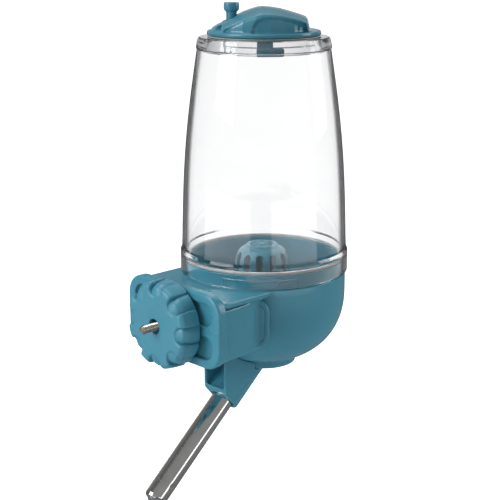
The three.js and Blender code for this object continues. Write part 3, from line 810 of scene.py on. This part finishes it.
# ---------------------------------------------------------------- strainer
th = np.radians(90 * (0.5 - 0.5 * np.cos(np.linspace(0, math.pi, 36))))
dome = [(16 * max(0, math.cos(t)) ** 0.5, 14 + 17.4 * max(0, math.sin(t)) ** 0.5) for t in th]
dome_in = [(14 * max(0, math.cos(t)) ** 0.5, 14 + 15.4 * max(0, math.sin(t)) ** 0.5) for t in th]
shell = [(-0.0, 31.4)] + dome[::-1][1:] + [(16, -32.4), (14, -32.4)] + dome_in + [(-6, 29.4), (-6, 31.4)]
strainer_t = Table(shell, (-1, -36), (20, 36), 0.2)


def strainer(x, y, z):
    r = np.hypot(x, y)
    f = strainer_t(r, z)
    ringd = ext(np.abs(r - 8.35) - 1.05, band(z, 29.0, 32.2), 0.5)
    f = smin(f, ringd, 1.4)
    hub = ext(r - 2.0, band(z, 29.6, 32.3), 0.4)
    f = smin(f, hub, 0.5)
    for k in range(4):
        a = math.radians(45 * k + 22.5)
        across = -x * math.sin(a) + y * math.cos(a)
        f = smin(f, np.maximum(ext(np.abs(across) - 0.6, band(z, 29.6, 32.0), 0.3), r - 7.6), 0.4)
    for k in range(6):
        a = math.radians(30 * k + 10)
        across = -x * math.sin(a) + y * math.cos(a)
        cutd = rrect(across, z - 11.5, 2.05, 16.5, 2.0)
        f = smax(f, -np.maximum(cutd, 6.0 - r), 0.5)
    return f


V, F = nets(strainer, (-17, -17, -33.4), (17, 17, 34.2), 0.5)
piece("strainer_dome", V + np.array([0, 70.4, 0]), F, TEAL_IN_SHADED, sharp=50)

# ---------------------------------------------------------------- bracket
env_pts = [(-5, 60), (48.3, 60)] + [(48.3, 6.0)] + bowl_arc(48.3, 44.3, 0, 66, 30)[1:] + [(19.1, -36.5), (19.1, -40.3), (-5, -40.3)]
env_t = Table(env_pts, (-1, -45), (62, 30), 0.25)


def envelope(x, y, z):
    return env_t(np.hypot(x, y - AXIS_Y), z)


BLOCK = [(-35.5, 4), (35.5, 4), (35.5, 12), (34.4, 24), (31.6, 45), (-31.6, 45), (-34.4, 24), (-35.5, 12)]
SHELF = [(-35, 3), (35, 3), (37, 8), (37, 46), (-37, 46), (-37, 8)]


def bracket(x, y, z):
    plate = ext(rrect(x, z, 38.2, 21.3, 12), band(y, 0, 6.2), 1.3)
    for side in (9.4, -9.4):
        plate = smax(plate, -ext(rrect(x, z - side, 32.2, 6.5, 6), np.abs(y) - 2.0, 0.3), 0.8)
    block = ext(poly(x, y, BLOCK), band(z, -17, 12.4), 1.2)
    f = smin(plate, block, 1.6)
    neck = ext(rrect(x, y - 25, 33.6, 21, 1.0), band(z, 11.4, 14.6), 0.1)
    f = smin(f, neck, 0.3)
    shelf = ext(poly(x, y, SHELF), band(z, 13.5, 16.6), 0.8)
    f = smin(f, shelf, 0.4)
    r = np.hypot(x, y - AXIS_Y)
    s = 49.55 * np.arctan2(x, AXIS_Y - y)
    edge = rrect(s, z + 1.8, 49.55 * math.radians(48.5), 14.0, 7.5)
    wing = ext(edge, np.abs(r - 49.3) - 1.5, 0.75)
    # a groove leaves a bead round the wing's end
    wing = smax(wing, -ext(np.abs(edge + 2.9) - 0.40, np.abs(r - 51.0) - 0.75, 0.2), 0.3)
    f = smin(f, wing, 1.2)
    f = smax(f, -envelope(x, y, z), 0.25)
    bolt = np.hypot(x, z)
    f = smax(f, -np.maximum(bolt - 2.8, y - 30), 0.3)
    f = smax(f, -np.maximum(hexd(x, z, 8.5), 16.7 - y), 0.3)
    return f


V, F = nets(bracket, (-43.5, -1, -22.6), (43.5, 48.5, 22.6), 0.5)
piece("mount_bracket", V, F, TEAL, sharp=50)


def tube_point(s, n):
    return (SP[1] + SU[1] * s + SN[1] * n, SP[2] + SU[2] * s + SN[2] * n)


RECESS = [(26, -10), (26, -42.53), (28, -42.53), tube_point(10, -8.7), tube_point(52, -8.7), (tube_point(52, -8.7)[0], -10)]


def housing(x, y, z):
    s = (y - SP[1]) * SU[1] + (z - SP[2]) * SU[2]
    n = (y - SP[1]) * SN[1] + (z - SP[2]) * SN[2]
    sec = np.where(n > 0, np.hypot(x, n), np.abs(x)) - 9.5
    f = smax(sec, 8.0 - s, 1.4)
    f = smax(f, 31.3 - y, 1.2)
    f = smax(f, z + 17.3, 0.3)
    f = smax(f, -envelope(x, y, z), 0.25)
    f = smax(f, -ext(poly(y, z, RECESS), np.abs(x) - 7.5, 1.2), 0.9)
    rho = np.hypot(x, n)
    f = smax(f, -np.maximum(rho - 6.9, s - 22.4), 0.6)
    f = smax(f, -ext(rho - 8.3, band(s, 13.4, 16.2), 0.2), 0.2)
    f = smax(f, -np.maximum(rho - 3.2, 20 - s), 0.2)
    return f


V, F = nets(housing, (-10.8, 29.5, -68.5), (10.8, 87, -16.3), 0.5)
piece("spout_housing", V, F, TEAL, sharp=50)

# ---------------------------------------------------------------- tube, seal, ball
a = np.linspace(0, 2 * math.pi, 17)[:-1]
V, F = lathe([(7.45 + 0.65 * math.cos(t), 14.8 + 0.65 * math.sin(t)) for t in a], 72)
piece("tube_seal", in_tube(V), F, SILICONE)

tube = fillet([
    (6.6, 22, 0.25), (6.6, -50), (6.6, -56), (6.6, -61.0, 1.6), (5.9, -62.8, 1.0), (4.9, -63.2, 0.4), (4.6, -62.85, 0.25), (5.3, -62.0, 0.6), (6.0, -60.9, 0.8), (6.0, -50), (6.0, 22, 0.25),
])
tube = dense(tube, 2.5)


def dimples(A, R, Z):
    """Four small crimp marks near the end keep the ball from going up the tube."""
    for a0 in (0, 90, 180, 270):
        d = (np.mod(A - a0 + 180, 360) - 180) * math.pi / 180 * 6.3
        dip = 0.42 * np.exp(-((d / 1.1) ** 2) - ((Z + 52.0) / 1.1) ** 2)
        R = R - dip
    return R, Z


fine_rows = [i for i in range(len(tube))]
extra_rows = []
for i in range(len(tube)):
    p, q = tube[i], tube[(i + 1) % len(tube)]
    extra_rows.append(p)
    if abs(p[0] - q[0]) < 1e-6 and -56.5 < (p[1] + q[1]) / 2 < -47.5:
        m = 6
        extra_rows += [(p[0], p[1] + (q[1] - p[1]) * k / m) for k in range(1, m)]
V, F = lathe(extra_rows, 96, True, dimples)
piece("drink_tube", in_tube(V), F, STEEL)

V, F = lathe([(5.55 * math.sin(t), -59.8 - 5.55 * math.cos(t)) if 0 < t < math.pi - 1e-9 else (0.0, -59.8 - 5.55 * math.cos(t)) for t in np.linspace(0, math.pi, 33)], 64, False)
piece("tube_ball", in_tube(V), F, STEEL)


# ---------------------------------------------------------------- screw, nut, washers
def screw():
    """M5 screw's shank: plain under the head, rolled thread to a chamfered tip; the hexagon head is joined on after."""
    n, pitch = 40, 0.8
    z = np.concatenate([np.arange(-18.0, 22.0, 0.08), [22.0]])  # local z = -y
    a = np.arange(n) / n
    A, Z = np.meshgrid(a, z, indexing="xy")
    phase = np.mod(Z / pitch - A, 1)
    tooth = 1 - np.abs(2 * phase - 1)
    tooth = np.clip((tooth - 0.12) / 0.76, 0, 1)
    depth = 0.42 * (1 - tooth)
    depth *= smooth01((Z + 5.0) / 1.6)
    R = 2.45 - depth
    tip = np.clip((Z - 21.2) / 0.8, 0, 1)
    R = np.minimum(R, 2.45 - 0.62 * tip)
    rad = 2 * math.pi * A
    V = np.stack([R * np.cos(rad), R * np.sin(rad), Z], 2).reshape(-1, 3)
    idx = np.arange(len(z) * n).reshape(len(z), n)
    faces = []
    for j in range(n):
        j2 = (j + 1) % n
        faces += np.stack([idx[:-1, j], idx[:-1, j2], idx[1:, j2], idx[1:, j]], 1).tolist()
    faces.append(tuple(int(i) for i in idx[0][::-1]))
    faces.append(tuple(int(i) for i in idx[-1]))
    return V, faces


def hexagon_body(af, z0, z1, hole=0.0, cham=True):
    """Hexagonal prism with its corners turned down, as cut nuts and heads are."""

    def f(x, y, z):
        d = ext(hexd(x, y, af), band(z, z0, z1), 0.12)
        r = np.hypot(x, y)
        if cham:
            top = af / 2 * 1.02
            d = smax(d, (r - top + (z - z1) * 1.9 + 0.0) * 0.46, 0.1)
            d = smax(d, (r - top - (z - z0) * 1.9) * 0.46, 0.1)
        if hole:
            d = smax(d, hole - r, 0.12)
            d = smax(d, -(np.hypot(r, 0) - hole - 0.45 + np.minimum(z - z0, z1 - z)) * 0.7, 0.1) if False else d
        return d

    R = af / math.sqrt(3) + 0.6
    return nets(f, (-R, -R, z0 - 0.6), (R, R, z1 + 0.6), 0.2)


V, F = screw()
HV, HF = hexagon_body(8.0, -21.5, -18.0)
if signed(HV, HF) < 0:
    HF = HF[:, ::-1]
if volume(V, F) < 0:
    F = [tuple(reversed(f)) for f in F]
V = V[:]
F = [tuple(f) for f in F] + [tuple(int(i) + len(V) for i in f) for f in HF]
V = np.concatenate([V, HV])
piece("clamp_bolt", along_y(V), F, ZINC, sharp=40)


def washer(inner, outer_r, y0, y1):
    return lathe(fillet([(inner, -y1, 0.1), (outer_r, -y1, 0.2), (outer_r, -y0, 0.2), (inner, -y0, 0.1)]), 64)


V, F = washer(2.8, 4.1, 16.9, 17.75)
piece("bolt_head_washer", along_y(V), F, ZINC)
V, F = washer(2.8, 6.0, -1.0, -0.2)
piece("clamp_washer", along_y(V), F, ZINC)
V, F = hexagon_body(8.0, 2.2, 6.1, 2.75)
piece("knob_nut", along_y(V), F, ZINC, sharp=40)

# ---------------------------------------------------------------- knob
LAND = fillet([(-30, -13.4), (22.4, -13.4, 2.6), (24.3, -11.4, 2.0), (24.8, -7.0, 1.0), (25.0, -1.2, 0.8), (-30, -1.2)])
PETAL = fillet([(-30, -12.5), (18.2, -12.5, 1.2), (21.9, -11.6, 2.5), (23.8, -8.9, 3.0), (24.5, -5.0, 2.0), (24.8, -1.2, 0.7), (-30, -1.2)])
land_t = Table(LAND, (-2, -20), (32, 4), 0.2)
petal_t = Table(PETAL, (-2, -20), (32, 4), 0.2)


def knob(x, y, z):
    r = np.hypot(x, z)
    a = np.degrees(np.arctan2(z, x))
    d = np.mod(a + 3 + 22.5, 45) - 22.5
    t = np.radians(d)
    s, rho = r * np.sin(t), r * np.cos(t)
    land = land_t(r, y)
    # the scoop widens a little outwards
    u = np.hypot(np.maximum(22.2 - rho, 0), s) - 5.0
    land = smax(land, -u, 1.5)
    petal = petal_t(rho - 0.25 + 0.072 * s * s, y + 0.2 - 0.05 * s * s)
    petal = smax(petal, u - 0.12, 0.3)
    core = ext(np.maximum(r - 22.6, y + 1.4), -(y + 6.5), 0.0)
    f = smin(smin(land, petal, 0.25), core, 0.3)
    f = smax(f, -np.maximum(r - 4.25, y + 5.2), 0.5)
    f = smax(f, -np.maximum(hexd(x, z, 8.6), -6.4 - y), 0.3)
    # web of the knob's back: a shallow hollow between hub and rim
    f = smax(f, -ext(np.abs(r - 15.0) - 5.0, np.abs(y + 1.2) - 2.2, 0.8), 0.6)
    return f


def knob_open(x, y, z):
    f = knob(x, y, z)
    return f


V, F = nets(knob_open, (-26.2, -14.4, -26.2), (26.2, 0.0, 26.2), 0.42)
piece("clamp_knob", V, F, TEAL_KNOB_LIT, sharp=50)

# ---------------------------------------------------------------- stage
FLOOR_Z = -0.225


def seen_directly(nt):
    """1 for a ray that comes from the lens, straight or through clear plastic; 0 once it has left a lit surface."""
    path = nt.nodes.new("ShaderNodeLightPath")
    either = nt.nodes.new("ShaderNodeMath")
    either.operation = "MAXIMUM"
    nt.links.new(path.outputs["Is Camera Ray"], either.inputs[0])
    nt.links.new(path.outputs["Is Transmission Ray"], either.inputs[1])
    first = nt.nodes.new("ShaderNodeMath")
    first.operation = "LESS_THAN"
    first.inputs[1].default_value = 0.5
    nt.links.new(path.outputs["Diffuse Depth"], first.inputs[0])
    both = nt.nodes.new("ShaderNodeMath")
    both.operation = "MULTIPLY"
    nt.links.new(either.outputs[0], both.inputs[0])
    nt.links.new(first.outputs[0], both.inputs[1])
    return both.outputs[0]


def stage_plane():
    n, R = 96, 14.0
    V = [(0.0, 0.072, FLOOR_Z)] + [(R * math.cos(2 * math.pi * i / n), R * math.sin(2 * math.pi * i / n), FLOOR_Z) for i in range(n)]
    F = [(0, 1 + i, 1 + (i + 1) % n) for i in range(n)]
    me = bpy.data.meshes.new("floor")
    me.from_pydata(V, [], F)
    ob = bpy.data.objects.new("floor", me)
    SCENE.collection.objects.link(ob)
    m, nt, b, out, co = new_material("floor_paint")
    paint = ramp(nt, noise(nt, co, 3, 3), [(0.3, (0.86, 0.865, 0.87, 1)), (0.7, (0.88, 0.883, 0.886, 1))])
    # painted dark reflection: mirrored in gloss, the pale floor is dark grey
    gloss = nt.nodes.new("ShaderNodeLightPath").outputs["Is Glossy Ray"]
    dim = nt.nodes.new("ShaderNodeMix")
    dim.data_type = "RGBA"
    nt.links.new(gloss, dim.inputs["Factor"])
    nt.links.new(paint, dim.inputs["A"])
    dim.inputs["B"].default_value = (0.16, 0.165, 0.17, 1)
    nt.links.new(dim.outputs["Result"], b.inputs["Base Color"])
    nt.links.new(remap(nt, noise(nt, co, 20, 3), 0.3, 0.7, 0.7, 0.8), b.inputs["Roughness"])
    b.inputs["Specular IOR Level"].default_value = 0.2
    b.inputs["Emission Color"].default_value = (1, 1, 1, 1)
    nt.links.new(remap(nt, seen_directly(nt), 0, 1, 0.05, 1.0), b.inputs["Emission Strength"])
    me.materials.append(m)


stage_plane()


def area(name, pos, aim, size, power, color=(1, 1, 1)):
    """A softbox, placed by its distance to the camera's right, towards the camera and up from the object's middle, in metres."""
    data = bpy.data.lights.new(name, "AREA")
    data.shape = "RECTANGLE"
    data.size, data.size_y = size
    data.energy = power
    data.color = color
    ob = bpy.data.objects.new(name, data)
    SCENE.collection.objects.link(ob)
    mid = Vector((0, 0.072, 0.03))
    p = mid + RIGHT * pos[0] + TOWARD * pos[1] + UP * pos[2]
    q = mid + RIGHT * aim[0] + TOWARD * aim[1] + UP * aim[2]
    ob.matrix_world = Matrix.Translation(p) @ (q - p).to_track_quat("-Z", "Y").to_matrix().to_4x4()
    return ob


area("key", (-1.25, 0.62, 0.55), (0, 0, 0), (0.8, 0.8), 13)
area("side", (1.05, -0.10, 0.38), (0, 0, 0), (0.45, 0.7), 4.6)
area("rear", (0.25, -0.9, 0.95), (0, 0, 0.08), (1.1, 0.45), 2)
area("top", (-0.35, -0.05, 1.25), (0, 0, 0.05), (0.7, 0.7), 7)


def card(name, a0, a1, radius, z0, z1, strength):
    """A tall curved softbox behind the lens that only gloss sees: a0 and a1 in degrees round from the lens's side, towards its right."""
    n = 24
    V, F = [], []
    for i in range(n + 1):
        a = math.radians(a0 + (a1 - a0) * i / n)
        p = TOWARD * (radius * math.cos(a)) + RIGHT * (radius * math.sin(a)) + Vector((0, 0.072, 0))
        V += [(p.x, p.y, z0), (p.x, p.y, z1)]
    for i in range(n):
        F.append((2 * i, 2 * i + 1, 2 * i + 3, 2 * i + 2))
    me = bpy.data.meshes.new(name)
    me.from_pydata(V, [], F)
    ob = bpy.data.objects.new(name, me)
    SCENE.collection.objects.link(ob)
    m = bpy.data.materials.new(name)
    m.use_nodes = True
    nt = m.node_tree
    nt.nodes.clear()
    out = nt.nodes.new("ShaderNodeOutputMaterial")
    em = nt.nodes.new("ShaderNodeEmission")
    co = nt.nodes.new("ShaderNodeTexCoord")
    nt.links.new(ramp(nt, noise(nt, co.outputs["Object"], 2, 1), [(0.3, (0.95, 0.96, 0.98, 1)), (0.7, (1, 1, 1, 1))]), em.inputs["Color"])
    path = nt.nodes.new("ShaderNodeLightPath")
    near = nt.nodes.new("ShaderNodeMath")
    near.operation = "LESS_THAN"
    near.inputs[1].default_value = 0.5
    nt.links.new(path.outputs["Diffuse Depth"], near.inputs[0])
    lit = nt.nodes.new("ShaderNodeMath")
    lit.operation = "MULTIPLY"
    lit.inputs[1].default_value = strength
    nt.links.new(near.outputs[0], lit.inputs[0])
    nt.links.new(lit.outputs[0], em.inputs["Strength"])
    nt.links.new(em.outputs[0], out.inputs[0])
    me.materials.append(m)
    ob.visible_camera = False
    ob.visible_diffuse = False
    ob.visible_transmission = False
    ob.visible_shadow = False


card("card_left", -88, -18, 1.05, -0.222, -0.05, 2.5)
card("card_right", 10, 76, 1.05, -0.222, -0.05, 2.5)

# world: white to the lens and through the clear plastic; a studio with dark flags for reflections
world = bpy.data.worlds.new("studio")
SCENE.world = world
world.use_nodes = True
wn = world.node_tree
wn.nodes.clear()
w_out = wn.nodes.new("ShaderNodeOutputWorld")
w_bg = wn.nodes.new("ShaderNodeBackground")
w_bg.inputs["Color"].default_value = (1, 1, 1, 1)
w_bg.inputs["Strength"].default_value = 1.0
w_dim = wn.nodes.new("ShaderNodeBackground")
w_co = wn.nodes.new("ShaderNodeTexCoord")
w_dot = wn.nodes.new("ShaderNodeVectorMath")
w_dot.operation = "DOT_PRODUCT"
w_dot.inputs[1].default_value = TOWARD
wn.links.new(w_co.outputs["Generated"], w_dot.inputs[0])
w_ramp = wn.nodes.new("ShaderNodeValToRGB")
w_map = wn.nodes.new("ShaderNodeMapRange")
w_map.inputs["From Min"].default_value = -1
wn.links.new(w_dot.outputs["Value"], w_map.inputs["Value"])
wn.links.new(w_map.outputs["Result"], w_ramp.inputs["Fac"])
stops = [(0.0, 0.85), (0.10, 0.70), (0.24, 0.16), (0.56, 0.12), (0.66, 0.27), (1.0, 0.34)]
els = w_ramp.color_ramp.elements
els[0].position, els[0].color = stops[0][0], (stops[0][1],) * 3 + (1,)
els[1].position, els[1].color = stops[-1][0], (stops[-1][1],) * 3 + (1,)
for p, v in stops[1:-1]:
    els.new(p).color = (v, v, v, 1)
w_sep = wn.nodes.new("ShaderNodeSeparateXYZ")
wn.links.new(w_co.outputs["Generated"], w_sep.inputs["Vector"])
w_high = remap(wn, w_sep.outputs["Z"], 0.09, 0.17, 0, 1)
w_back = remap(wn, w_dot.outputs["Value"], -0.2, -0.5, 0, 1)
w_over = wn.nodes.new("ShaderNodeMath")
w_over.operation = "MULTIPLY"
wn.links.new(w_high, w_over.inputs[0])
wn.links.new(w_back, w_over.inputs[1])
w_sky = wn.nodes.new("ShaderNodeMix")
w_sky.data_type = "RGBA"
wn.links.new(w_over.outputs[0], w_sky.inputs["Factor"])
wn.links.new(w_ramp.outputs["Color"], w_sky.inputs["A"])
w_sky.inputs["B"].default_value = (0.20, 0.20, 0.20, 1)
wn.links.new(w_sky.outputs["Result"], w_dim.inputs["Color"])
w_dim.inputs["Strength"].default_value = 1.0
w_mix = wn.nodes.new("ShaderNodeMixShader")
wn.links.new(seen_directly(wn), w_mix.inputs[0])
wn.links.new(w_dim.outputs[0], w_mix.inputs[1])
wn.links.new(w_bg.outputs[0], w_mix.inputs[2])
wn.links.new(w_mix.outputs[0], w_out.inputs[0])

SCENE.view_settings.view_transform = "Standard"
SCENE.view_settings.look = "None"
